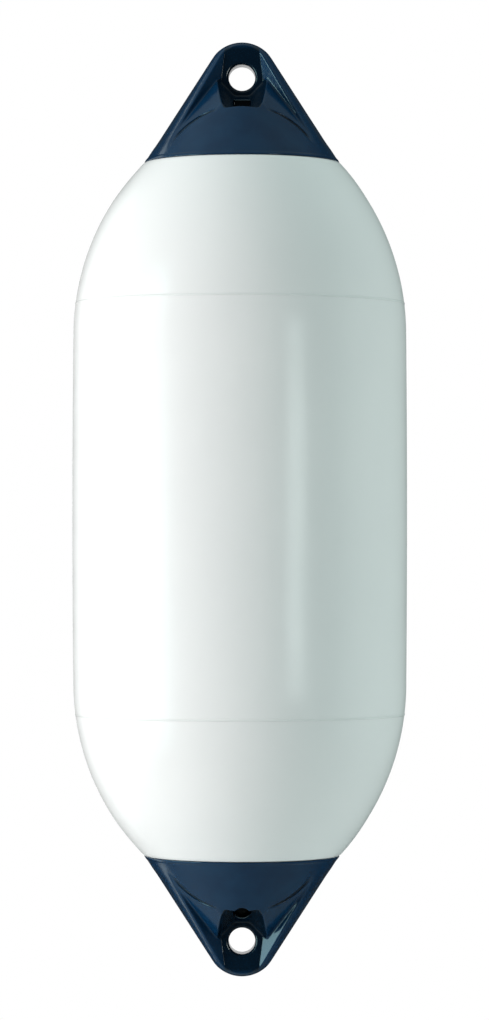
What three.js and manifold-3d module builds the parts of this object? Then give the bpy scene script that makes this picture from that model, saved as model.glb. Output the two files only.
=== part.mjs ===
// Double-eye boat fender: a hollow white air chamber between two navy rope holds, and an air valve
// in the lower hold. Millimetres, +Z up along the fender's axis, the front faces -Y, and the origin
// is the middle of the fender.

import * as THREE from 'three';
import { mergeVertices } from 'three/addons/utils/BufferGeometryUtils.js';
import Module from 'manifold-3d';

const wasm = await Module();
wasm.setup();

const DEGREE = Math.PI / 180;
const EASE = 0.3; // clearance between pieces that touch on the real fender

// Whole fender
const LENGTH = 614.8; // tip to tip

// Air chamber
const BODY_RADIUS = 110.2; // at the middle
const BARREL_FALL = 0.6; // the radius lost between the middle and the start of a shoulder
const SHOULDER_RADIUS = 164.7; // of the arc that runs from the barrel to the rope hold
const BODY_WALL = 4.5;
const STEP_AT_HOLD = 0.4; // how far the chamber stands proud of the rope hold's rim
const SEAM_HEIGHT = 135; // of each moulding seam above or below the middle
const SEAM_WIDTH = 1.6;
const SEAM_PROUD = 0.35;

// Rope hold. Distances marked "from the tip" are measured along the axis.
const HOLD_HEIGHT = 79.5; // tip to rim
const TIP_RADIUS = 23.7; // of the ball that rounds the tip
const CONE_ANGLE = 32.8 * DEGREE; // between the cone's side and the axis
const SKIRT_WALL = 6; // square to the cone
const SOCKET_ROOF = 57; // of the socket that takes the chamber's end, from the tip
const EYE_DIAMETER = 17.5;
const EYE_CENTRE = 24; // from the tip
const EYE_FILLET = 2;
const WEB_THICKNESS = 22;

// The flange's inner facet rises outwards from the web's side edge.
const WEB_EDGE = 10.3; // half the web floor's width at the tip
const WEB_SPREAD = 0.129; // gained for each mm from the tip
const FACET_RISE = 0.75; // depth gained for each mm outwards

// A gusset stands on each side of the pocket below the eye.
const GUSSET_TIP = 25.5; // from the tip of the hold
const GUSSET_REACH = 16; // of that tip from the axis, sideways
const GUSSET_RISE = 1.262; // depth gained for each mm from the tip of the hold
const GUSSET_FALL = 1.08; // depth lost for each mm outwards
const GUSSET_WALL_RISE = 1.8; // of the wall that faces the pocket, for each mm outwards
const GUSSET_WALL_LEAN = 0.97; // how fast the foot of that wall closes in on the axis

// The pocket's ramp climbs from the web to the crown, the cone's full front below the pocket.
const RAMP_START = 36.4; // from the tip
const RAMP_RISE = 1.35;
const RAMP_HALF_WIDTH = 13;
const CROWN_TOP = 46.4; // from the tip
const CROWN_RADIUS = 55.3; // of the crown's arched upper edge

// Each side of the flange has a drafted flat, which runs out into the cone near the rim.
const SIDE_DRAFT = 9.7 * DEGREE;
const FLAT_END = 68; // from the tip
const RUNOUT_SLOPE = 1.018;

// Air valve
const VALVE_BORE = 11.2;
const VALVE_TILT = 5 * DEGREE;
const VALVE_AXIS_DEPTH = 29.6; // a point that the bore's axis passes through, in front of the axis
const VALVE_AXIS_DROP = 44.1; // the same point, from the tip
const VALVE_BORE_FLOOR = 1.5; // depth at which the bore ends
const BLANK_FLOOR = 12.5; // depth at which the upper hold's blank recess ends
const SEAT_FRONT = 9; // depth of the seat's front face
const SEAT_LENGTH = 6.5;
const SEAT_HOLE = 5.2;
const SCREW_HEAD = 8.4;
const SCREW_HEAD_HEIGHT = 2.6;
const SCREW_SHANK_LENGTH = 5;
const SLOT_WIDTH = 1.2;
const SLOT_DEPTH = 1.3;
const AIR_PASSAGE = 5;
const PASSAGE_DEPTH = 2.2; // of the passage's axis in front of the fender's axis

// Facets
const ROUND_STEPS = 64;
const SMALL_STEPS = 24;
const BARREL_STEPS = 2;
const ARC_STEPS = 7;
const FILLET_STEPS = 4;
const LARGE = 400; // a cutter's side, larger than anything that it cuts
const FINEST = 0.01; // detail below this is merged away

const halfLength = LENGTH / 2;
const rimHeight = halfLength - HOLD_HEIGHT;
const coneSlope = Math.tan(CONE_ANGLE);

// The radius of the cone that touches the tip's ball, at a distance from the tip.
const coneRadius = (drop) => TIP_RADIUS / Math.cos(CONE_ANGLE) + (drop - TIP_RADIUS) * coneSlope;
const rimRadius = coneRadius(HOLD_HEIGHT);
const socketRadius = (drop) => coneRadius(drop) - SKIRT_WALL / Math.cos(CONE_ANGLE);
const spigotRadius = (drop) => socketRadius(drop) - EASE / Math.cos(CONE_ANGLE);

// A closed mesh with shared vertices becomes a solid.
function solid(geometry) {
  const bare = geometry.index ? geometry.toNonIndexed() : geometry.clone();
  bare.deleteAttribute('normal');
  bare.deleteAttribute('uv');
  const merged = mergeVertices(bare, 1e-4);
  return new wasm.Manifold(new wasm.Mesh({
    numProp: 3,
    vertProperties: new Float32Array(merged.attributes.position.array),
    triVerts: new Uint32Array(merged.index.array),
  }));
}

function geometryOf(manifold) {
  const mesh = manifold.simplify(FINEST).getMesh();
  const geometry = new THREE.BufferGeometry();
  geometry.setAttribute('position', new THREE.BufferAttribute(mesh.vertProperties, 3));
  geometry.setIndex(new THREE.BufferAttribute(mesh.triVerts, 1));
  const flat = geometry.toNonIndexed();
  flat.computeVertexNormals();
  return flat;
}

const joined = (solids) => solids.reduce((whole, next) => whole.add(next));

// A profile of [radius, height] points that closes on itself or on the axis, turned about Z.
function turned(profile, steps) {
  const points = profile.map(([radius, height]) => new THREE.Vector2(radius, height));
  return new THREE.LatheGeometry(points, steps).rotateX(Math.PI / 2);
}

function arc(centreRadius, centreHeight, radius, from, to, steps) {
  return Array.from({ length: steps + 1 }, (_, step) => {
    const angle = from + (to - from) * step / steps;
    return [centreRadius + radius * Math.cos(angle), centreHeight + radius * Math.sin(angle)];
  });
}

// Air chamber

const barrelEndRadius = BODY_RADIUS - BARREL_FALL;
const ledgeHeight = rimHeight - EASE;
const ledgeRadius = rimRadius + STEP_AT_HOLD;
const shoulderCentre = barrelEndRadius - SHOULDER_RADIUS;
const shoulderEnd = Math.acos((ledgeRadius - shoulderCentre) / SHOULDER_RADIUS);
const shoulderStart = ledgeHeight - SHOULDER_RADIUS * Math.sin(shoulderEnd);
const spigotTop = halfLength - SOCKET_ROOF - EASE;

// The barrel's radius falls slightly from the middle to the start of a shoulder.
function barrel(radiusLoss, steps) {
  return Array.from({ length: steps }, (_, step) => {
    const share = step / steps;
    return [BODY_RADIUS - radiusLoss - BARREL_FALL * share * share, shoulderStart * share];
  });
}

// The outer profile from the middle up to the axis, with the seam's small bead on the shoulder.
function outerHalf() {
  const radiusAt = (height) => {
    const rise = height - shoulderStart;
    return shoulderCentre + Math.sqrt(SHOULDER_RADIUS ** 2 - rise ** 2);
  };
  const seamFoot = SEAM_HEIGHT - SEAM_WIDTH / 2;
  const seamHead = SEAM_HEIGHT + SEAM_WIDTH / 2;
  const bead = [
    [radiusAt(seamFoot), seamFoot],
    [radiusAt(SEAM_HEIGHT - SEAM_WIDTH / 4) + SEAM_PROUD, SEAM_HEIGHT - SEAM_WIDTH / 4],
    [radiusAt(SEAM_HEIGHT + SEAM_WIDTH / 4) + SEAM_PROUD, SEAM_HEIGHT + SEAM_WIDTH / 4],
    [radiusAt(seamHead), seamHead],
  ];
  const shoulder = arc(shoulderCentre, shoulderStart, SHOULDER_RADIUS, 0, shoulderEnd, ARC_STEPS)
    .filter(([, height]) => height < seamFoot - SEAM_WIDTH || height > seamHead + SEAM_WIDTH);
  const below = shoulder.filter(([, height]) => height < seamFoot);
  const above = shoulder.filter(([, height]) => height > seamHead);
  return [
    ...barrel(0, BARREL_STEPS), ...below, ...bead, ...above,
    [spigotRadius(HOLD_HEIGHT + EASE), ledgeHeight],
    [spigotRadius(SOCKET_ROOF + EASE), spigotTop],
    [0, spigotTop],
  ];
}

function innerHalf() {
  const innerRadius = SHOULDER_RADIUS - BODY_WALL;
  const innerEnd = Math.asin((ledgeHeight - BODY_WALL - shoulderStart) / innerRadius);
  const wallAcross = BODY_WALL / Math.cos(CONE_ANGLE);
  return [
    ...barrel(BODY_WALL, BARREL_STEPS),
    ...arc(shoulderCentre, shoulderStart, innerRadius, 0, innerEnd, ARC_STEPS),
    [spigotRadius(HOLD_HEIGHT) - wallAcross, rimHeight],
    [spigotRadius(SOCKET_ROOF + BODY_WALL) - wallAcross, spigotTop - BODY_WALL],
    [0, spigotTop - BODY_WALL],
  ];
}

// The lower half mirrors the upper one, and the point at the middle isn't repeated.
function wholeProfile(half) {
  const lower = half.slice(1).reverse().map(([radius, height]) => [radius, -height]);
  return [...lower, ...half];
}

function bodySolid() {
  const outer = solid(turned(wholeProfile(outerHalf()), ROUND_STEPS));
  const inner = solid(turned(wholeProfile(innerHalf()), ROUND_STEPS));
  return outer.subtract(inner).subtract(solid(lowerPlace(airPassage())));
}

// Rope hold, made with its tip at the origin and pointing up

// A facet of the hold is a plane whose depth in front of the axis depends on the distance
// sideways and the distance from the tip.
const webFace = { depth: WEB_THICKNESS / 2, outwards: 0, down: 0 };
const flangeFacet = {
  depth: WEB_THICKNESS / 2 - FACET_RISE * WEB_EDGE,
  outwards: FACET_RISE,
  down: -FACET_RISE * WEB_SPREAD,
};
const depthAt = (facet, sideways, drop) => facet.depth + facet.outwards * sideways + facet.down * drop;
const gussetFace = {
  depth: depthAt(flangeFacet, GUSSET_REACH, GUSSET_TIP) + GUSSET_FALL * GUSSET_REACH
    - GUSSET_RISE * GUSSET_TIP,
  outwards: -GUSSET_FALL,
  down: GUSSET_RISE,
};
const gussetWall = {
  depth: WEB_THICKNESS / 2 - GUSSET_WALL_RISE * (GUSSET_REACH + GUSSET_WALL_LEAN * GUSSET_TIP),
  outwards: GUSSET_WALL_RISE,
  down: GUSSET_WALL_RISE * GUSSET_WALL_LEAN,
};
const rampFace = {
  depth: WEB_THICKNESS / 2 - RAMP_RISE * RAMP_START,
  outwards: 0,
  down: RAMP_RISE,
};
const draftAcross = Math.tan(SIDE_DRAFT) / Math.cos(CONE_ANGLE);
const sideFlat = {
  depth: coneRadius(0) / draftAcross,
  outwards: -1 / draftAcross,
  down: coneSlope / draftAcross,
};
const sideRunout = {
  depth: (coneRadius(FLAT_END) - RUNOUT_SLOPE * FLAT_END) / draftAcross,
  outwards: -1 / draftAcross,
  down: RUNOUT_SLOPE / draftAcross,
};

const FRONT = -1;
const BACK = 1;

// The half-space behind a facet, or beyond it, on one side of the axis and one face of the hold.
function halfSpace(facet, side, face, beyond) {
  const outward = new THREE.Vector3(-facet.outwards * side, face, facet.down).normalize();
  const turn = new THREE.Quaternion().setFromUnitVectors(new THREE.Vector3(0, 0, 1), outward);
  const centre = new THREE.Vector3(0, face * facet.depth, 0)
    .addScaledVector(outward, beyond ? LARGE / 2 : -LARGE / 2);
  return solid(new THREE.BoxGeometry(LARGE, LARGE, LARGE).applyQuaternion(turn)
    .translate(centre.x, centre.y, centre.z));
}
const behind = (facet, side, face) => halfSpace(facet, side, face, false);
const beyond = (facet, side, face) => halfSpace(facet, side, face, true);

// The space above the crown's arched edge, in front of the hold or behind it.
function aboveCrown(face) {
  const reach = rimRadius * 1.5;
  const arcCentre = -CROWN_TOP - CROWN_RADIUS;
  const outline = new THREE.Shape();
  outline.moveTo(-reach, reach);
  outline.lineTo(-reach, arcCentre);
  outline.lineTo(-CROWN_RADIUS, arcCentre);
  outline.absarc(0, arcCentre, CROWN_RADIUS, Math.PI, 0, true);
  outline.lineTo(reach, arcCentre);
  outline.lineTo(reach, reach);
  const prism = new THREE.ExtrudeGeometry(outline, {
    depth: reach, bevelEnabled: false, curveSegments: ROUND_STEPS / 2,
  });
  return solid(prism.rotateX(Math.PI / 2).translate(0, face === BACK ? reach : 0, 0));
}

function recess(face) {
  const ramp = behind(rampFace, 1, face)
    .intersect(solid(new THREE.BoxGeometry(2 * RAMP_HALF_WIDTH, LARGE, LARGE)));
  const kept = [behind(webFace, 1, face), ramp];
  for (const side of [-1, 1]) {
    kept.push(behind(flangeFacet, side, face));
    kept.push(behind(gussetFace, side, face).intersect(behind(gussetWall, side, face)));
  }
  return aboveCrown(face).subtract(joined(kept));
}

function holdBlank() {
  const tipEnd = CONE_ANGLE;
  const ball = arc(0, -TIP_RADIUS, TIP_RADIUS, Math.PI / 2, tipEnd, ARC_STEPS);
  ball[0] = [0, 0];
  return solid(turned([
    [0, -SOCKET_ROOF],
    [socketRadius(SOCKET_ROOF), -SOCKET_ROOF],
    [socketRadius(HOLD_HEIGHT), -HOLD_HEIGHT],
    [rimRadius, -HOLD_HEIGHT],
    ...ball.reverse(),
  ], ROUND_STEPS));
}

// The eye's cutter flares at the web's faces, which rounds the hole's edges.
function eyeCutter() {
  const radius = EYE_DIAMETER / 2;
  const face = WEB_THICKNESS / 2;
  const flare = Array.from({ length: FILLET_STEPS + 1 }, (_, step) => {
    const angle = (Math.PI / 2) * step / FILLET_STEPS;
    return [
      radius + EYE_FILLET * (1 - Math.cos(angle)),
      face - EYE_FILLET * (1 - Math.sin(angle)),
    ];
  });
  const outer = [...flare, [radius + EYE_FILLET, rimRadius], [0, rimRadius]];
  const cutter = turned(wholeProfile([[radius, 0], ...outer]), SMALL_STEPS * 2);
  return solid(cutter.rotateX(Math.PI / 2).translate(0, 0, -EYE_CENTRE));
}

// Moves a shape made about Z, with its outer end up, into the valve bore's axis. Height 0 of the
// shape goes to the given depth in front of the fender's axis.
function alongValve(geometry, depth) {
  const drop = VALVE_AXIS_DROP + (VALVE_AXIS_DEPTH - depth) * Math.tan(VALVE_TILT);
  return geometry.rotateX(Math.PI / 2 - VALVE_TILT).translate(0, -depth, -drop);
}

function rod(radius, from, to, steps) {
  return turned([[0, from], [radius, from], [radius, to], [0, to]], steps);
}

const valveBore = (floorDepth) => alongValve(rod(VALVE_BORE / 2, 0, rimRadius, SMALL_STEPS), floorDepth);

function airPassage() {
  const boreAxisDrop = VALVE_AXIS_DROP + (VALVE_AXIS_DEPTH - VALVE_BORE_FLOOR) * Math.tan(VALVE_TILT);
  return rod(AIR_PASSAGE / 2, -HOLD_HEIGHT, -boreAxisDrop, SMALL_STEPS).translate(0, -PASSAGE_DEPTH, 0);
}

function plainHold() {
  let hold = holdBlank();
  for (const face of [FRONT, BACK]) {
    hold = hold.subtract(recess(face));
    for (const side of [-1, 1]) {
      hold = hold.subtract(beyond(sideFlat, side, face).intersect(beyond(sideRunout, side, face)));
    }
  }
  return hold.subtract(eyeCutter());
}

// Places in the fender: the upper hold is lifted, and the lower one is also turned over.
const upperPlace = (geometry) => geometry.translate(0, 0, halfLength);
const lowerPlace = (geometry) => geometry.rotateY(Math.PI).translate(0, 0, -halfLength);

// Air valve

function valveSeat() {
  const outside = VALVE_BORE / 2 - EASE;
  const inside = SEAT_HOLE / 2;
  const seat = turned([
    [inside, -SEAT_LENGTH], [outside, -SEAT_LENGTH], [outside, 0], [inside, 0], [inside, -SEAT_LENGTH],
  ], SMALL_STEPS);
  return lowerPlace(alongValve(seat, SEAT_FRONT));
}

function valveScrew() {
  const shank = SEAT_HOLE / 2 - EASE;
  const head = SCREW_HEAD / 2;
  const crown = EASE + SCREW_HEAD_HEIGHT;
  const edge = SCREW_HEAD_HEIGHT / 4;
  const screw = solid(turned([
    [0, -SCREW_SHANK_LENGTH], [shank, -SCREW_SHANK_LENGTH], [shank, EASE], [head, EASE],
    [head, crown - edge], [head - edge, crown], [0, crown],
  ], SMALL_STEPS));
  const slot = new THREE.BoxGeometry(2 * SCREW_HEAD, SLOT_WIDTH, 2 * SLOT_DEPTH).translate(0, 0, crown);
  return lowerPlace(alongValve(geometryOf(screw.subtract(solid(slot))), SEAT_FRONT));
}

// Materials

const whiteVinyl = new THREE.MeshStandardMaterial({ color: 0xf2f4f3, roughness: 0.2, metalness: 0 });
const navyVinyl = new THREE.MeshStandardMaterial({ color: 0x0b2137, roughness: 0.18, metalness: 0 });
const blackRubber = new THREE.MeshStandardMaterial({ color: 0x1b1d1f, roughness: 0.6, metalness: 0 });
const blackPlastic = new THREE.MeshStandardMaterial({ color: 0x15181b, roughness: 0.4, metalness: 0 });

function part(name, geometry, material) {
  const mesh = new THREE.Mesh(geometry, material);
  mesh.name = name;
  return mesh;
}

const lowerHold = plainHold()
  .subtract(solid(valveBore(VALVE_BORE_FLOOR)))
  .subtract(solid(airPassage()));
// The upper hold's blank recess stops at the crown's wall.
const upperHold = plainHold()
  .subtract(solid(valveBore(BLANK_FLOOR)).intersect(aboveCrown(FRONT)));

const fender = new THREE.Group();
fender.add(part('body', geometryOf(bodySolid()), whiteVinyl));
fender.add(part('rope_hold_top', upperPlace(geometryOf(upperHold)), navyVinyl));
fender.add(part('rope_hold_bottom', lowerPlace(geometryOf(lowerHold)), navyVinyl));
fender.add(part('valve_seat', valveSeat(), blackRubber));
fender.add(part('valve_screw', valveScrew(), blackPlastic));

export default fender;
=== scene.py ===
"""Double-eye boat fender in glossy white vinyl, with navy rope holds, hung upright in a pale studio."""

import math

import bmesh
import bpy
import numpy as np
from mathutils import Matrix, Vector


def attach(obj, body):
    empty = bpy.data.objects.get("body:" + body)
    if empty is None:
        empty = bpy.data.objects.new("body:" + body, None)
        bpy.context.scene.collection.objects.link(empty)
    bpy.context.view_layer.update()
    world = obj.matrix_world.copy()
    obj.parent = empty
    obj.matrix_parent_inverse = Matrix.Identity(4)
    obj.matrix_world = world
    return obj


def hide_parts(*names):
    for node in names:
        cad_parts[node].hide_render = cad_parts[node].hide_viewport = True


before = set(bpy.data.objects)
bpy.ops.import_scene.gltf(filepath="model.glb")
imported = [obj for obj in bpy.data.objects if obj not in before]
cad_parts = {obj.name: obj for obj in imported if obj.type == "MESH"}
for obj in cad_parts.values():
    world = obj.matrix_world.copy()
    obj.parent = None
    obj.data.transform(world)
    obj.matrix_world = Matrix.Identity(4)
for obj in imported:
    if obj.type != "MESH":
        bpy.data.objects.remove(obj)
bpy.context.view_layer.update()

MM = 0.001
HALF_LENGTH = 307.4

# Rope hold, in mm. Its shape is told by distances from its tip along the fender's axis, called drops.
TIP_RADIUS = 23.7
CONE_ANGLE = math.radians(32.8)
HOLD_HEIGHT = 79.5
RIM_ROUND = 1.0
LIP_DROP = 77.2
LIP_RISE = 0.5
LIP_PROUD = 0.3
SOCKET_ROOF = 57.0
SKIRT_WALL = 6.0
SIDE_DRAFT = math.radians(9.7)
RUNOUT_DROP = 68.0
RUNOUT_SLOPE = 1.018

# Web with the eye, and the flanges on both sides of it
EYE_DROP = 24.0
EYE_RADIUS = 8.75
EYE_FILLET = 2.0
WEB_HALF = 11.0
FLANGE_SLOPE = 0.75
FLANGE_FOOT = 10.3
FLANGE_FLARE = 0.129
CREST_OUT = 8.1
CREST_FLARE = 0.579
EDGE_ROUND = 1.0

# Gussets, the pocket between them and the crown that closes it
GUSSET_DEPTH = -1.9
GUSSET_FALL = 1.08
GUSSET_RISE = 1.262
GUSSET_WALL_RISE = 1.8
GUSSET_WALL_FOOT = 40.8
GUSSET_WALL_LEAN = 0.97
GUSSET_TOP = (24.5, 27)
RIDGE_OUT = 20.8
RIDGE_LEAN = 0.168
RIDGE_CURL = 0.643
CURL_START = 33.0
WALL_CURL = 4.5e-5
RAMP_START = 36.4
RAMP_SLOPE = 1.35
RAMP_HALF_WIDTH = 13.0
CROWN_TOP = 46.4
CROWN_RADIUS = 55.3
CROWN_DRAFT = math.radians(5)
CROWN_FRONT = 43.0
CREASE = 1.5
CREASE_START = (15, 29)
CREASE_END = (40, 46)

# Air chamber, in mm
BODY_RADIUS = 110.2
BARREL_FALL = 0.6
SHOULDER_RADIUS = 164.7
LEDGE_STEP = 0.4
FIT_GAP = 0.3
SEAM_HEIGHT = 135.0
SEAM_PROUD = 0.35
SEAM_HALF_WIDTH = 0.8
BULGE = 1.5
BULGE_REACH = 250.0
BULGE_FADE = 200.0

# Valve bore, in mm
BORE_RADIUS = 5.6
BORE_TILT = math.tan(math.radians(5))
BORE_DROP = 44.1
BORE_DEPTH = 29.6
BORE_FLOOR = 1.5
BORE_MOUTH = 15.0
BLANK_FLOOR = 12.5

# The mesh of a rope hold: rays run out from the eye to the outline, and rings cross them.
# The rings lie close together in a band, which follows the crown's arc and then the flange's crest.
RIM_RAYS = 60
SIDE_RAYS = 60
TIP_RAYS = 60
POCKET_RINGS = 46
BAND_RINGS = 24
SKIRT_RINGS = 34
ARC_RAYS_END = math.radians(42)
CREST_RAYS_START = math.radians(58)
BAND_INSIDE = 3.0
BAND_OUTSIDE = 3.2
CREST_NARROWING = 0.65
CREST_LIMIT = 0.85
EYE_STEPS = 8

# The mesh of the air chamber: rows up each stretch of its profile, and steps round its axis
BARREL_ROWS = 60
SEAM_ROWS = 17
SHOULDER_ROWS = 64
TURN_STEPS = 256


# Shape of the rope hold


def cone_radius(drop):
    return TIP_RADIUS / math.cos(CONE_ANGLE) + (drop - TIP_RADIUS) * math.tan(CONE_ANGLE)


def soft_max(a, b, blend):
    """The larger of two distances, with the corner between them rounded."""
    near = np.maximum(blend - np.abs(a - b), 0) / blend
    return np.maximum(a, b) + near * near * blend / 4


def soft_min(a, b, blend):
    return -soft_max(-a, -b, blend)


def smooth_step(value, low, high):
    share = np.clip((value - low) / (high - low), 0, 1)
    return share * share * (3 - 2 * share)


def facet(x, y, drop, depth, outwards, down):
    """Distance in front of a flat facet whose depth changes sideways and down from the tip."""
    return (y - depth - outwards * x - down * drop) / math.sqrt(1 + outwards ** 2 + down ** 2)


def outside_arc(x, drop):
    """Distance outside the arc that the crown's edge draws when seen from the front."""
    return np.hypot(x, drop - CROWN_TOP - CROWN_RADIUS) - CROWN_RADIUS


def crease_depth(x, drop):
    """How deep the crease is that runs round the crown on both sides of the gussets."""
    off = outside_arc(x, drop)
    along = smooth_step(x, *CREASE_START) * (1 - smooth_step(x, *CREASE_END))
    return CREASE * np.exp(-((off - 0.7) / 0.9) ** 2) * along * smooth_step(off, -0.2, 0.4)


def edge_round(x, drop):
    """How far the corner is rounded between the hold's skin and what lies inside it."""
    along_crest = 1 - smooth_step(np.abs(x - CREST_OUT - CREST_FLARE * drop), 2.0, 4.5)
    return 0.7 + EDGE_ROUND * along_crest


def skin_distance(x, y, drop):
    """Distance outside the round tip, the cone with its lip, and the flats on both sides."""
    below_centre = drop - TIP_RADIUS
    across = np.hypot(x, y)
    on_ball = below_centre < -across * math.tan(CONE_ANGLE)
    ball = np.hypot(across, below_centre) - TIP_RADIUS
    cone = across * math.cos(CONE_ANGLE) - below_centre * math.sin(CONE_ANGLE) - TIP_RADIUS
    lip = LIP_PROUD * smooth_step(drop, LIP_DROP, LIP_DROP + LIP_RISE)

    draft = math.tan(SIDE_DRAFT) / math.cos(CONE_ANGLE)
    slope = math.tan(CONE_ANGLE)
    side = facet(x, y, drop, cone_radius(0) / draft, -1 / draft, slope / draft)
    start = cone_radius(RUNOUT_DROP) - RUNOUT_SLOPE * RUNOUT_DROP
    runout = facet(x, y, drop, start / draft, -1 / draft, RUNOUT_SLOPE / draft)
    return soft_max(np.where(on_ball, ball, cone - lip), soft_min(side, runout, 1.0), 0.5)


def floor_distance(x, y, drop):
    """Distance in front of the web, the flanges, the ramp to the crown and the gussets."""
    web = y - WEB_HALF
    flange = facet(
        x, y, drop, WEB_HALF - FLANGE_SLOPE * FLANGE_FOOT, FLANGE_SLOPE, -FLANGE_SLOPE * FLANGE_FLARE,
    )
    ramp = facet(x, y, drop, WEB_HALF - RAMP_SLOPE * RAMP_START, 0.0, RAMP_SLOPE)
    gusset_front = facet(x, y, drop, GUSSET_DEPTH, -GUSSET_FALL, GUSSET_RISE)
    curl = WALL_CURL * np.maximum(drop - CURL_START, 0) ** 4
    gusset_wall = facet(
        x + curl, y, drop,
        WEB_HALF - GUSSET_WALL_RISE * GUSSET_WALL_FOOT,
        GUSSET_WALL_RISE, GUSSET_WALL_RISE * GUSSET_WALL_LEAN,
    )
    gusset = soft_max(gusset_front, gusset_wall, 0.8)
    floor = soft_min(web, flange, 0.2)
    floor = soft_min(floor, np.maximum(ramp, x - RAMP_HALF_WIDTH), 0.7)
    return soft_min(floor, gusset, 1.6)


def bore_distance(x, y, drop):
    """Distance outside the valve's bore, which has no undercut on the crown's side."""
    centre = BORE_DROP - (y - BORE_DEPTH) * BORE_TILT
    straight = BORE_DROP - (CROWN_FRONT - BORE_DEPTH) * BORE_TILT
    tilted = np.hypot(x, drop - centre) - BORE_RADIUS
    upright = np.hypot(x, drop - straight) - BORE_RADIUS
    return np.maximum(np.maximum(tilted, upright), BORE_FLOOR - y)


def mouth_edge():
    """Drop of the tip's side of the bore's mouth."""
    return BORE_DROP + (BORE_DEPTH - BORE_MOUTH) * BORE_TILT - BORE_RADIUS


def blank_distance(x, y, drop):
    """Distance outside the shallow recess that the upper hold has in the bore's place."""
    across = soft_max(np.abs(x) - BORE_RADIUS, mouth_edge() - drop, 1.2)
    return np.maximum(across, BLANK_FLOOR - y)


def hold_distance(x, y, drop, bore):
    """Distance outside the rope hold's front half. bore is None, "open" or "blank"."""
    x = np.abs(x)
    inside_front = (CROWN_FRONT - y) * math.tan(CROWN_DRAFT)
    crown = (outside_arc(x, drop) - inside_front) * math.cos(CROWN_DRAFT)
    crease = crease_depth(x, drop)
    inner = soft_min(floor_distance(x, y, drop) + crease, crown, 0.6)
    whole = soft_max(skin_distance(x, y, drop) + crease, inner, edge_round(x, drop))
    if bore == "open":
        whole = soft_max(whole, -bore_distance(x, y, drop), 0.5)
    if bore == "blank":
        recess = np.maximum(blank_distance(x, y, drop), 0.4 - crown)
        whole = soft_max(whole, -recess, 0.7)
    return whole


# Mesh of the rope hold


def root(low, high, value, steps=44):
    """Where value changes from negative to positive between low and high, for each element."""
    for _ in range(steps):
        middle = (low + high) / 2
        inside = value(middle) < 0
        low = np.where(inside, middle, low)
        high = np.where(inside, high, middle)
    return (low + high) / 2


def ray_angles():
    """Angles of the rays from the eye, measured from straight down, once round the eye.

    They crowd together where the rim meets the sides, because the skin turns away there.
    """
    rim_drop = HOLD_HEIGHT - RIM_ROUND
    rim = cone_radius(rim_drop)
    turn = np.linspace(0, math.pi / 2, RIM_RAYS, endpoint=False)
    along_rim = np.arctan2(rim * np.sin(turn), rim_drop - EYE_DROP)
    share = np.linspace(0, 1, SIDE_RAYS, endpoint=False) ** 1.9
    tangent = TIP_RADIUS * (1 - math.sin(CONE_ANGLE))
    drops = rim_drop + (tangent - rim_drop) * share
    along_side = np.arctan2(cone_radius(drops), drops - EYE_DROP)
    first = math.atan2(cone_radius(tangent), tangent - EYE_DROP)
    round_tip = np.linspace(first, math.pi, TIP_RAYS, endpoint=False)
    right = np.concatenate([along_rim, along_side, round_tip])
    return np.concatenate([right, [math.pi], -right[:0:-1]])


def ring_distances(angles, outline):
    """Distance from the eye's centre of each ring along each ray."""
    away = np.abs(angles)
    held = np.minimum(away, ARC_RAYS_END)
    reach = CROWN_TOP + CROWN_RADIUS - EYE_DROP
    arc = reach * np.cos(held) - np.sqrt(CROWN_RADIUS ** 2 - (reach * np.sin(held)) ** 2)
    rim = (HOLD_HEIGHT - RIM_ROUND - EYE_DROP) / np.cos(held)
    steep = np.maximum(np.sin(away) - CREST_FLARE * np.cos(away), 0.1)
    crest = np.minimum((CREST_OUT + CREST_FLARE * EYE_DROP) / steep / outline, CREST_LIMIT)
    to_crest = smooth_step(away, ARC_RAYS_END, CREST_RAYS_START)
    band = np.where(away > ARC_RAYS_END, outline * (arc / rim + (crest - arc / rim) * to_crest), arc)

    width = 1 - CREST_NARROWING * to_crest
    first = np.full_like(away, EYE_RADIUS + EYE_FILLET)
    inner, outer = band - BAND_INSIDE * width, band + BAND_OUTSIDE * width
    in_pocket = np.linspace(0, 1, POCKET_RINGS, endpoint=False)
    across = np.linspace(-1, 1, BAND_RINGS, endpoint=False)
    in_band = 0.5 + 0.5 * np.sign(across) * np.abs(across) ** 1.3
    in_skirt = 1 - (1 - np.linspace(0, 1, SKIRT_RINGS)) ** 2.1
    return np.concatenate([
        first[:, None] + (inner - first)[:, None] * in_pocket,
        inner[:, None] + (outer - inner)[:, None] * in_band,
        outer[:, None] + (outline - outer)[:, None] * in_skirt,
    ], axis=1)


def gather_at_bore(x, drop):
    """Crowds points towards the bore's edge, so that its wall is drawn cleanly."""
    reach = 1.6
    ramp_depth = 14
    centre = BORE_DROP - (CROWN_FRONT - BORE_DEPTH) * BORE_TILT
    tip_side = BORE_DROP + (BORE_DEPTH - ramp_depth) * BORE_TILT
    middle = np.where(drop < (centre + tip_side) / 2, tip_side, centre)
    radius = np.hypot(x, drop - middle)
    off = radius - BORE_RADIUS
    pulled = np.sign(off) * reach * (np.abs(off) / reach) ** 1.7
    scale = np.where(np.abs(off) < reach, (BORE_RADIUS + pulled) / np.maximum(radius, 0.01), 1)
    return x * scale, middle + (drop - middle) * scale


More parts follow.
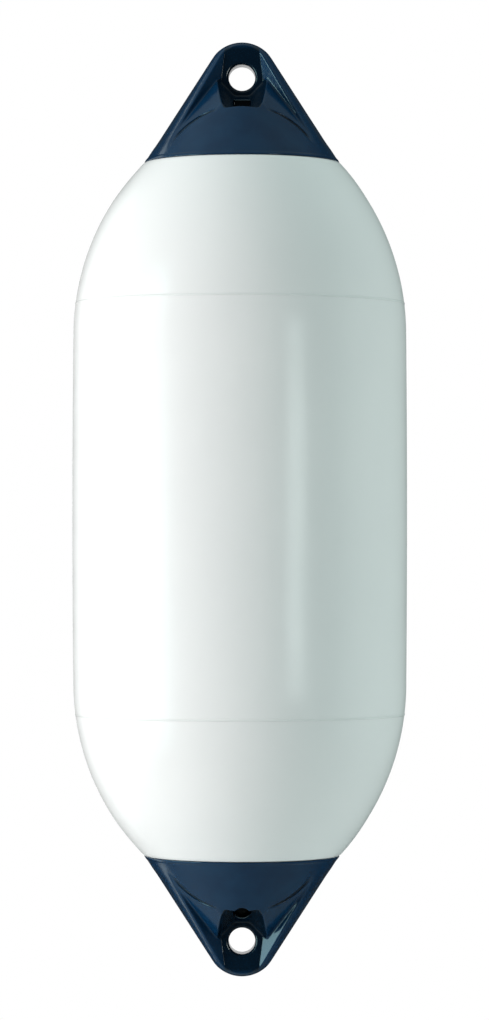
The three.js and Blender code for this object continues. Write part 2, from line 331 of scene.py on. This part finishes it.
def hold_sheet(bore):
    """(x, y, drop) of one half of a rope hold's surface, as ray by ring arrays."""
    angles = ray_angles()
    sideways, down = np.sin(angles), np.cos(angles)
    rim_drop = HOLD_HEIGHT - RIM_ROUND
    zero = np.zeros_like(angles)
    outline = root(
        zero + EYE_RADIUS, zero + 90,
        lambda t: np.maximum(
            hold_distance(sideways * t, zero, EYE_DROP + down * t, None),
            EYE_DROP + down * t - rim_drop,
        ),
    )
    rings = ring_distances(angles, outline)
    x = sideways[:, None] * rings
    drop = EYE_DROP + down[:, None] * rings
    if bore == "open":
        x, drop = gather_at_bore(x, drop)
    nearest, farthest = np.zeros_like(x), np.full_like(x, 80.0)
    depth = root(nearest, farthest, lambda y: hold_distance(x, y, drop, bore))
    at_side = drop[:, -1] < rim_drop - 1e-6
    depth[at_side, -1] = 0
    return x, depth, drop


def sheet_mesh(mesh, bore, front):
    """Spins a row of points round the eye's axis, and moves them onto one half of the hold."""
    x, depth, drop = hold_sheet(bore)
    rays, rings = x.shape
    other_half = set(mesh.verts)
    row = [mesh.verts.new((ring + 1, 0, 0)) for ring in range(rings)]
    edges = [mesh.edges.new(pair) for pair in zip(row, row[1:])]
    bmesh.ops.spin(mesh, geom=row + edges, cent=(0, 0, 0), axis=(0, 1, 0), dvec=(0, 0, 0),
                   angle=2 * math.pi, steps=rays, use_merge=True, use_duplicate=False)
    sign = -1 if front else 1
    for vert in mesh.verts:
        if vert in other_half:
            continue
        ring = round(math.hypot(vert.co.x, vert.co.z)) - 1
        turn = math.atan2(vert.co.z, vert.co.x) % (2 * math.pi)
        ray = round(turn / (2 * math.pi) * rays) % rays
        vert.co = (x[ray, ring], sign * depth[ray, ring], -drop[ray, ring])


def extrude_loop(mesh, edges, place):
    """Extrudes a loop of edges, and puts each new vertex where place says. Returns the new loop."""
    made = bmesh.ops.extrude_edge_only(mesh, edges=edges)["geom"]
    for vert in made:
        if isinstance(vert, bmesh.types.BMVert):
            vert.co = place(vert.co.copy())
    return [edge for edge in made if isinstance(edge, bmesh.types.BMEdge) and edge.is_boundary]


def rim_and_socket(mesh, loop):
    """Adds the rim's rounded lip, and the socket that takes the chamber's end."""
    rim = cone_radius(HOLD_HEIGHT)
    wall = SKIRT_WALL / math.cos(CONE_ANGLE)
    lip = [(cone_radius(HOLD_HEIGHT - 0.6) + LIP_PROUD, HOLD_HEIGHT - 0.6),
           (rim + 0.1, HOLD_HEIGHT - 0.28), (rim - 0.45, HOLD_HEIGHT - 0.07),
           (rim - 0.8, HOLD_HEIGHT), (rim - 3, HOLD_HEIGHT), (rim - wall, HOLD_HEIGHT)]
    socket = [(cone_radius(drop) - wall, drop) for drop in (72, 64, SOCKET_ROOF)]
    roof = [(cone_radius(SOCKET_ROOF) * share, SOCKET_ROOF) for share in (0.5, 0.25, 0.1)]
    for radius, drop in lip + socket + roof:
        def on_ring(co, radius=radius, drop=drop):
            flat = Vector((co.x, co.y)).normalized() * radius
            return Vector((flat.x, flat.y, -drop))
        loop = extrude_loop(mesh, loop, on_ring)
    bmesh.ops.edgeloop_fill(mesh, edges=loop)


def eye_wall(mesh, loop):
    """Adds the eye's rounded edges and its wall, from the front face to the back."""
    turns = np.linspace(0, math.pi / 2, EYE_STEPS + 1)[1:]
    depths = [WEB_HALF - EYE_FILLET * (1 - math.cos(turn)) for turn in turns]
    radii = [EYE_RADIUS + EYE_FILLET * (1 - math.sin(turn)) for turn in turns]
    steps = [(radius, -depth) for radius, depth in zip(radii, depths)]
    steps += [(EYE_RADIUS, y) for y in (-5, 0, 5)]
    steps += list(zip(radii[::-1], depths[::-1]))
    steps.append((EYE_RADIUS + EYE_FILLET, WEB_HALF))
    for radius, y in steps:
        def on_eye(co, radius=radius, y=y):
            flat = Vector((co.x, co.z + EYE_DROP)).normalized() * radius
            return Vector((flat.x, y, flat.y - EYE_DROP))
        loop = extrude_loop(mesh, loop, on_eye)


def rope_hold(name, bore, lower):
    mesh = bmesh.new()
    sheet_mesh(mesh, bore, front=True)
    sheet_mesh(mesh, None, front=False)
    bmesh.ops.remove_doubles(mesh, verts=mesh.verts, dist=1e-4)
    open_edges = [edge for edge in mesh.edges if edge.is_boundary]
    at_rim = [edge.verts[0].co.z < -SOCKET_ROOF for edge in open_edges]
    rim_loop = [edge for edge, rim in zip(open_edges, at_rim) if rim]
    eye_loop = [edge for edge, rim in zip(open_edges, at_rim) if not rim and edge.verts[0].co.y < 0]
    rim_and_socket(mesh, rim_loop)
    eye_wall(mesh, eye_loop)
    bmesh.ops.remove_doubles(mesh, verts=mesh.verts, dist=0.02)
    if lower:
        half_turn = Matrix.Rotation(math.pi, 3, "Y")
        bmesh.ops.rotate(mesh, verts=mesh.verts, cent=(0, 0, 0), matrix=half_turn)
    height = -HALF_LENGTH if lower else HALF_LENGTH
    bmesh.ops.translate(mesh, verts=mesh.verts, vec=(0, 0, height))
    return finished(mesh, name)


def finished(mesh, name, smooth=True):
    """Turns a bmesh drawn in mm into a scene object in metres, with its faces pointing outwards."""
    bmesh.ops.scale(mesh, verts=mesh.verts, vec=(MM, MM, MM))
    bmesh.ops.recalc_face_normals(mesh, faces=mesh.faces)
    data = bpy.data.meshes.new(name)
    mesh.to_mesh(data)
    mesh.free()
    if smooth:
        data.shade_smooth()
    else:
        data.shade_flat()
    piece = bpy.data.objects.new(name, data)
    bpy.context.scene.collection.objects.link(piece)
    return piece


# Shape of the air chamber


def chamber_profile(ledge):
    """(radius, height) up the chamber's outside, and over its end that sits in a rope hold."""
    edge_radius = cone_radius(HOLD_HEIGHT) + LEDGE_STEP
    centre = BODY_RADIUS - BARREL_FALL - SHOULDER_RADIUS
    last = math.acos((edge_radius - centre) / SHOULDER_RADIUS)
    start = ledge - SHOULDER_RADIUS * math.sin(last)

    def skin(height):
        if height <= start:
            return BODY_RADIUS - BARREL_FALL * (height / start) ** 2
        bead = max(0.0, 1 - ((height - SEAM_HEIGHT) / SEAM_HALF_WIDTH) ** 2)
        shoulder = math.sqrt(SHOULDER_RADIUS ** 2 - (height - start) ** 2)
        return centre + shoulder + SEAM_PROUD * bead

    heights = list(np.linspace(0, SEAM_HEIGHT - 2, BARREL_ROWS))
    heights += list(np.linspace(SEAM_HEIGHT - 1.6, SEAM_HEIGHT + 1.6, SEAM_ROWS))
    heights += list(np.linspace(SEAM_HEIGHT + 3, ledge - 0.8, SHOULDER_ROWS))
    outside = [(skin(height), height) for height in heights]
    ledge_edge = [(skin(ledge) - 0.15, ledge - 0.25), (skin(ledge) - 0.5, ledge)]
    wall = (SKIRT_WALL + FIT_GAP) / math.cos(CONE_ANGLE)
    top = HALF_LENGTH - SOCKET_ROOF - FIT_GAP
    plug = [(cone_radius(HOLD_HEIGHT + FIT_GAP) - wall, ledge),
            (cone_radius(SOCKET_ROOF + FIT_GAP) - wall, top), (0, top)]
    return outside + ledge_edge + plug


def chamber():
    """The photographed chamber lies a little to the left of its ends, so it bulges that way."""
    ledge = HALF_LENGTH - HOLD_HEIGHT - FIT_GAP
    upper = chamber_profile(ledge)
    profile = [(radius, -height) for radius, height in upper[:0:-1]] + upper
    mesh = bmesh.new()
    row = [mesh.verts.new((radius, 0, height)) for radius, height in profile]
    edges = [mesh.edges.new(pair) for pair in zip(row, row[1:])]
    bmesh.ops.spin(mesh, geom=row + edges, cent=(0, 0, 0), axis=(0, 0, 1), dvec=(0, 0, 0),
                   angle=2 * math.pi, steps=TURN_STEPS, use_merge=True, use_duplicate=False)
    bmesh.ops.remove_doubles(mesh, verts=mesh.verts, dist=1e-4)
    for vert in mesh.verts:
        height = abs(vert.co.z)
        share = (1 - (height / BULGE_REACH) ** 4) * (1 - smooth_step(height, BULGE_FADE, ledge))
        vert.co.x -= BULGE * float(share)
    return finished(mesh, "air_chamber")


# Nodes


class Tone:
    """A node's output, with arithmetic that adds Math nodes."""

    def __init__(self, nodes, socket):
        self.nodes = nodes
        self.socket = socket

    def math(self, operation, first, second=0.0):
        return self.nodes.node("ShaderNodeMath", {"operation": operation}, {0: first, 1: second})

    def __add__(self, other):
        return self.math("ADD", self, other)

    __radd__ = __add__

    def __mul__(self, other):
        return self.math("MULTIPLY", self, other)

    __rmul__ = __mul__

    def __sub__(self, other):
        return self.math("SUBTRACT", self, other)

    def __rsub__(self, other):
        return self.math("SUBTRACT", other, self)

    def __truediv__(self, other):
        return self.math("DIVIDE", self, other)

    def __abs__(self):
        return self.math("ABSOLUTE", self)

    def at_least(self, other):
        return self.math("MAXIMUM", self, other)

    def from_point(self, other):
        """Length of the arrow whose two steps are this one and the other."""
        return self.math("SQRT", self * self + other * other)

    def ramp(self, low, high, kind="SMOOTHSTEP"):
        """0 below low, 1 above high and smooth between, or straight if kind is "LINEAR"."""
        return self.nodes.node(
            "ShaderNodeMapRange", {"interpolation_type": kind},
            {"Value": self, "From Min": low, "From Max": high},
        )


class Nodes:
    """Adds nodes to a node tree and links them."""

    def __init__(self, tree):
        self.tree = tree

    def add(self, kind, settings, inputs):
        made = self.tree.nodes.new(kind)
        for setting, value in settings.items():
            setattr(made, setting, value)
        for socket, value in inputs.items():
            if isinstance(value, Tone):
                self.tree.links.new(value.socket, made.inputs[socket])
            else:
                made.inputs[socket].default_value = value
        return made

    def node(self, kind, settings, inputs, output=0):
        return Tone(self, self.add(kind, settings, inputs).outputs[output])

    def tones(self, kind, inputs, names):
        """Several outputs of one node."""
        outputs = self.add(kind, {}, inputs).outputs
        return [Tone(self, outputs[name]) for name in names]


class Finish(Nodes):
    """A procedural material on a Principled shader."""

    def __init__(self, name, **constants):
        self.material = bpy.data.materials.new(name)
        self.material.use_nodes = True
        super().__init__(self.material.node_tree)
        self.shader = self.tree.nodes["Principled BSDF"]
        for socket, value in constants.items():
            self.shader.inputs[socket.replace("_", " ")].default_value = value
        self.place = self.node("ShaderNodeTexCoord", {}, {}, "Object")

    def noise(self, scale, detail=2.0):
        """Noise between 0 and 1. scale is in cells a metre."""
        inputs = {"Vector": self.place, "Scale": scale, "Detail": detail}
        return self.node("ShaderNodeTexNoise", {}, inputs)

    def axes(self):
        return self.tones("ShaderNodeSeparateXYZ", {"Vector": self.place}, "XYZ")

    def mix(self, factor, first, second):
        """Colours are (red, green, blue), or the result of another mix."""
        first, second = [given if isinstance(given, Tone) else (*given, 1) for given in (first, second)]
        inputs = {0: factor, 6: first, 7: second}
        return self.node("ShaderNodeMix", {"data_type": "RGBA"}, inputs, 2)

    def set(self, socket, value):
        self.tree.links.new(value.socket, self.shader.inputs[socket])

    def bump(self, height, distance):
        self.set("Normal", self.node("ShaderNodeBump", {}, {"Height": height, "Distance": distance}))


# Finishes


def white_vinyl():
    finish = Finish("white_vinyl", Specular_IOR_Level=0.17)
    z = finish.axes()[2]
    cloud = finish.noise(9, 3).ramp(0.3, 0.75)
    colour = finish.mix(cloud, (0.81, 0.812, 0.805), (0.835, 0.835, 0.825))
    near_seam = 1 - abs(abs(z) - SEAM_HEIGHT * MM).ramp(0.0004, 0.0012)
    colour = finish.mix(near_seam * 0.25, colour, (0.62, 0.65, 0.63))
    finish.set("Base Color", colour)
    finish.set("Roughness", 0.16 + 0.1 * finish.noise(35, 4))
    ripple = finish.noise(14, 1) * 0.5 + finish.noise(900, 2) * 0.012
    finish.bump(ripple, 0.0012)
    return finish.material


def pocket_shade_mask(side, drop, off_arc):
    """1 on the web and in the pocket, where shade is painted into the colour because little light gets
    in.
    """
    past = (drop - CURL_START).at_least(0.0)
    curl = WALL_CURL * (past * past) * (past * past)
    flange_foot = FLANGE_FOOT + 0.3 + FLANGE_FLARE * drop
    ridge = RIDGE_OUT - RIDGE_LEAN * drop - RIDGE_CURL * curl
    at_gussets = drop.ramp(*GUSSET_TOP)
    edge = flange_foot * (1 - at_gussets) + ridge * at_gussets
    mask = (1 - (side - edge).ramp(-0.4, 0.4)) * off_arc.ramp(0.0, 0.8)
    return mask * drop.ramp(1.5, 6)


def crease_shade_mask(side, off_arc):
    # where a dark line of painted shade runs along the crease; the same mask also makes the crease
    # rougher
    across = off_arc.ramp(-0.1, 0.4) * (1 - off_arc.ramp(1.1, 2.1))
    return across * side.ramp(15, 23) * (1 - side.ramp(*CREASE_END))


def rim_highlight_mask(side, drop, front, upper):
    """Painted highlight: 1 on the tip's side of the bore's rim, or of the straight rim of the upper
    hold's recess.
    """
    from_bore = side.from_point(drop - mouth_edge() - BORE_RADIUS)
    round_rim = 1 - abs(from_bore - BORE_RADIUS - 0.2).ramp(0.15, 0.5)
    round_rim = round_rim * (1 - drop.ramp(40.5, 43.5))
    straight_rim = 1 - abs(drop - mouth_edge() + 0.2).ramp(0.15, 0.5)
    straight_rim = straight_rim * (1 - side.ramp(4.6, 5.6))
    return (straight_rim * upper + round_rim * (1 - upper)) * front.ramp(8, 10)


def navy_vinyl():
    finish = Finish("navy_vinyl", Specular_IOR_Level=0.5)
    x, y, z = finish.axes()
    side, front = abs(x) / MM, 0 - y / MM
    drop = HALF_LENGTH - abs(z) / MM
    off_arc = side.from_point(drop - CROWN_TOP - CROWN_RADIUS) - CROWN_RADIUS
    in_crease = crease_shade_mask(side, off_arc)

    cloud = finish.noise(60, 3).ramp(0.3, 0.75)
    colour = finish.mix(cloud, (0.0015, 0.021, 0.059), (0.0025, 0.027, 0.07))
    # painted shade: the web and the pocket are darkened in the colour, as if little light got in
    colour = finish.mix(pocket_shade_mask(side, drop, off_arc) * 0.8, colour, (0.0005, 0.004, 0.008))
    # painted shade: the crease round the crown is darkened in the colour
    colour = finish.mix(in_crease * 0.75, colour, (0.0005, 0.005, 0.012))
    rim_highlight = rim_highlight_mask(side, drop, front, z.ramp(-0.01, 0.01))
    # painted highlight: a pale line along the tip's side of the bore's rim, and of the upper hold's
    # recess
    colour = finish.mix(rim_highlight * 0.7, colour, (0.12, 0.17, 0.2))
    finish.set("Base Color", colour)
    finish.set("Roughness", 0.11 + 0.12 * finish.noise(80, 4) + 0.45 * in_crease)
    ripple = finish.noise(110, 2) * 0.5 + finish.noise(1600, 2) * 0.012
    finish.bump(ripple, 0.0003)
    return finish.material


def valve_material(name, colour, roughness):
    finish = Finish(name, Roughness=roughness)
    darker = tuple(channel * 0.7 for channel in colour)
    finish.set("Base Color", finish.mix(finish.noise(700, 3), colour, darker))
    finish.bump(finish.noise(2500, 2), 0.00005)
    return finish.material


def floor_paper():
    finish = Finish("floor_paper", Roughness=0.8)
    finish.set("Base Color", finish.mix(finish.noise(3), (0.71, 0.71, 0.71), (0.73, 0.73, 0.73)))
    return finish.material


# The dressed part


def dress(piece, material, node):
    piece.data.materials.append(material)
    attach(piece, "root")
    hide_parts(node)


white, navy = white_vinyl(), navy_vinyl()
dress(chamber(), white, "body")
dress(rope_hold("upper_rope_hold", "blank", lower=False), navy, "rope_hold_top")
dress(rope_hold("lower_rope_hold", "open", lower=True), navy, "rope_hold_bottom")
for node, colour, roughness in (("valve_seat", (0.012, 0.013, 0.015), 0.5),
                                ("valve_screw", (0.008, 0.009, 0.01), 0.35)):
    material = valve_material(node + "_finish", colour, roughness)
    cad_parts[node].material_slots[0].material = material


# Studio

CENTRE = (0, 0, 0)
WARM = (1, 0.955, 0.96)
COOL = (0.88, 1, 0.98)
ROOM_TINT = (0.82, 1.0, 0.985, 1)
PAPER_WHITE = (1, 1, 1, 1)

# How light the room is to matt surfaces and in a mirror, and what its two ends and its left add
MATT_ROOM = 0.205
MATT_OVERHEAD = 0.82
MIRROR_ROOM = 0.03
MIRROR_OVERHEAD = 0.24
MIRROR_LEFT = 0.4

# The floor in mm, and the camera in metres with its lens in mm
FLOOR_HALF = 1500
FLOOR_HEIGHT = -800
CAMERA_PLACE = (0.00165, -2.73, -0.028)
CAMERA_AIM = (0.00165, 0, -0.0007)
LENS = 146.3
SENSOR_WIDTH = 36


def around(azimuth, distance, height=0.0):
    """A place seen from the fender at that azimuth: 0 is towards the camera and 90 is to its left."""
    turn = math.radians(azimuth)
    return (-math.sin(turn) * distance, -math.cos(turn) * distance, height)


def aimed(thing, place, aim):
    """Puts a lamp or camera in the scene, at a place and pointing at another."""
    made = bpy.data.objects.new(thing.name, thing)
    made.location = place
    made.rotation_euler = (Vector(aim) - Vector(place)).to_track_quat("-Z", "Y").to_euler()
    bpy.context.scene.collection.objects.link(made)
    return made


def panel(name, place, aim, size, power, colour, lights):
    """A rectangular lamp. It lights only "matt" surfaces, or shows only in "gloss"."""
    data = bpy.data.lights.new(name, "AREA")
    data.shape = "RECTANGLE"
    data.size, data.size_y = size
    data.energy = power
    data.color = colour
    lamp = aimed(data, place, aim)
    lamp.visible_glossy = lights == "gloss"
    lamp.visible_diffuse = lights == "matt"


def studio_world():
    """White paper for the camera and behind the fender, in a dim room with light upper and lower ends."""
    world = bpy.data.worlds.new("studio")
    bpy.context.scene.world = world
    world.use_nodes = True
    world.node_tree.nodes.clear()
    nodes = Nodes(world.node_tree)
    rays = ("Is Camera Ray", "Is Transmission Ray", "Is Glossy Ray")
    camera_ray, transmission_ray, glossy_ray = nodes.tones("ShaderNodeLightPath", {}, rays)
    direction = nodes.node("ShaderNodeTexCoord", {}, {}, "Generated")
    x, y, z = nodes.tones("ShaderNodeSeparateXYZ", {"Vector": direction}, "XYZ")

    overhead = abs(z).ramp(0.45, 0.85)
    behind = glossy_ray * y.ramp(0.984, 0.99, "LINEAR")
    on_paper = camera_ray.at_least(transmission_ray).at_least(behind)
    leftwards = (x * -MIRROR_LEFT).at_least(0.0)
    mirror_level = MIRROR_ROOM + overhead * (leftwards + MIRROR_OVERHEAD)
    matt_level = MATT_ROOM + overhead * MATT_OVERHEAD
    level = matt_level - glossy_ray * (matt_level - mirror_level)
    room = nodes.node("ShaderNodeBackground", {}, {"Color": ROOM_TINT, "Strength": level})
    paper = nodes.node("ShaderNodeBackground", {}, {"Color": PAPER_WHITE, "Strength": 1.0})
    mixed = nodes.node("ShaderNodeMixShader", {}, {0: on_paper, 1: room, 2: paper})
    nodes.add("ShaderNodeOutputWorld", {}, {"Surface": mixed})


def studio_floor():
    mesh = bmesh.new()
    bmesh.ops.create_grid(mesh, x_segments=1, y_segments=1, size=FLOOR_HALF)
    bmesh.ops.translate(mesh, verts=mesh.verts, vec=(0, 0, FLOOR_HEIGHT))
    floor = finished(mesh, "floor", smooth=False)
    floor.data.materials.append(floor_paper())
    floor.visible_glossy = False
    return floor


def photo_camera():
    data = bpy.data.cameras.new("camera")
    data.lens = LENS
    data.sensor_width = SENSOR_WIDTH
    bpy.context.scene.camera = aimed(data, CAMERA_PLACE, CAMERA_AIM)


panel("left_key", around(64, 2.4, 0.1), CENTRE, (1.2, 1.8), 60, WARM, "matt")
panel("left_softbox", around(73, 1.6, -0.38), (0, 0, -0.25), (1.5, 1.1), 25, (0.62, 1, 1), "gloss")
panel("upper_softbox", around(60, 1.6, 0.62), (0, 0, 0.28), (0.42, 0.55), 4.6, (0.6, 1, 1), "gloss")
panel("left_wall", around(126, 1.6), CENTRE, (0.8, 2.6), 6, (0.85, 1, 1), "gloss")
panel("right_strip", around(-38, 2.0), CENTRE, (0.42, 0.54), 8, COOL, "gloss")
panel("right_fill", around(-85, 2.2), CENTRE, (1.2, 2.0), 21, COOL, "matt")
studio_world()
floor = studio_floor()
photo_camera()
bpy.context.scene.view_settings.view_transform = "Standard"
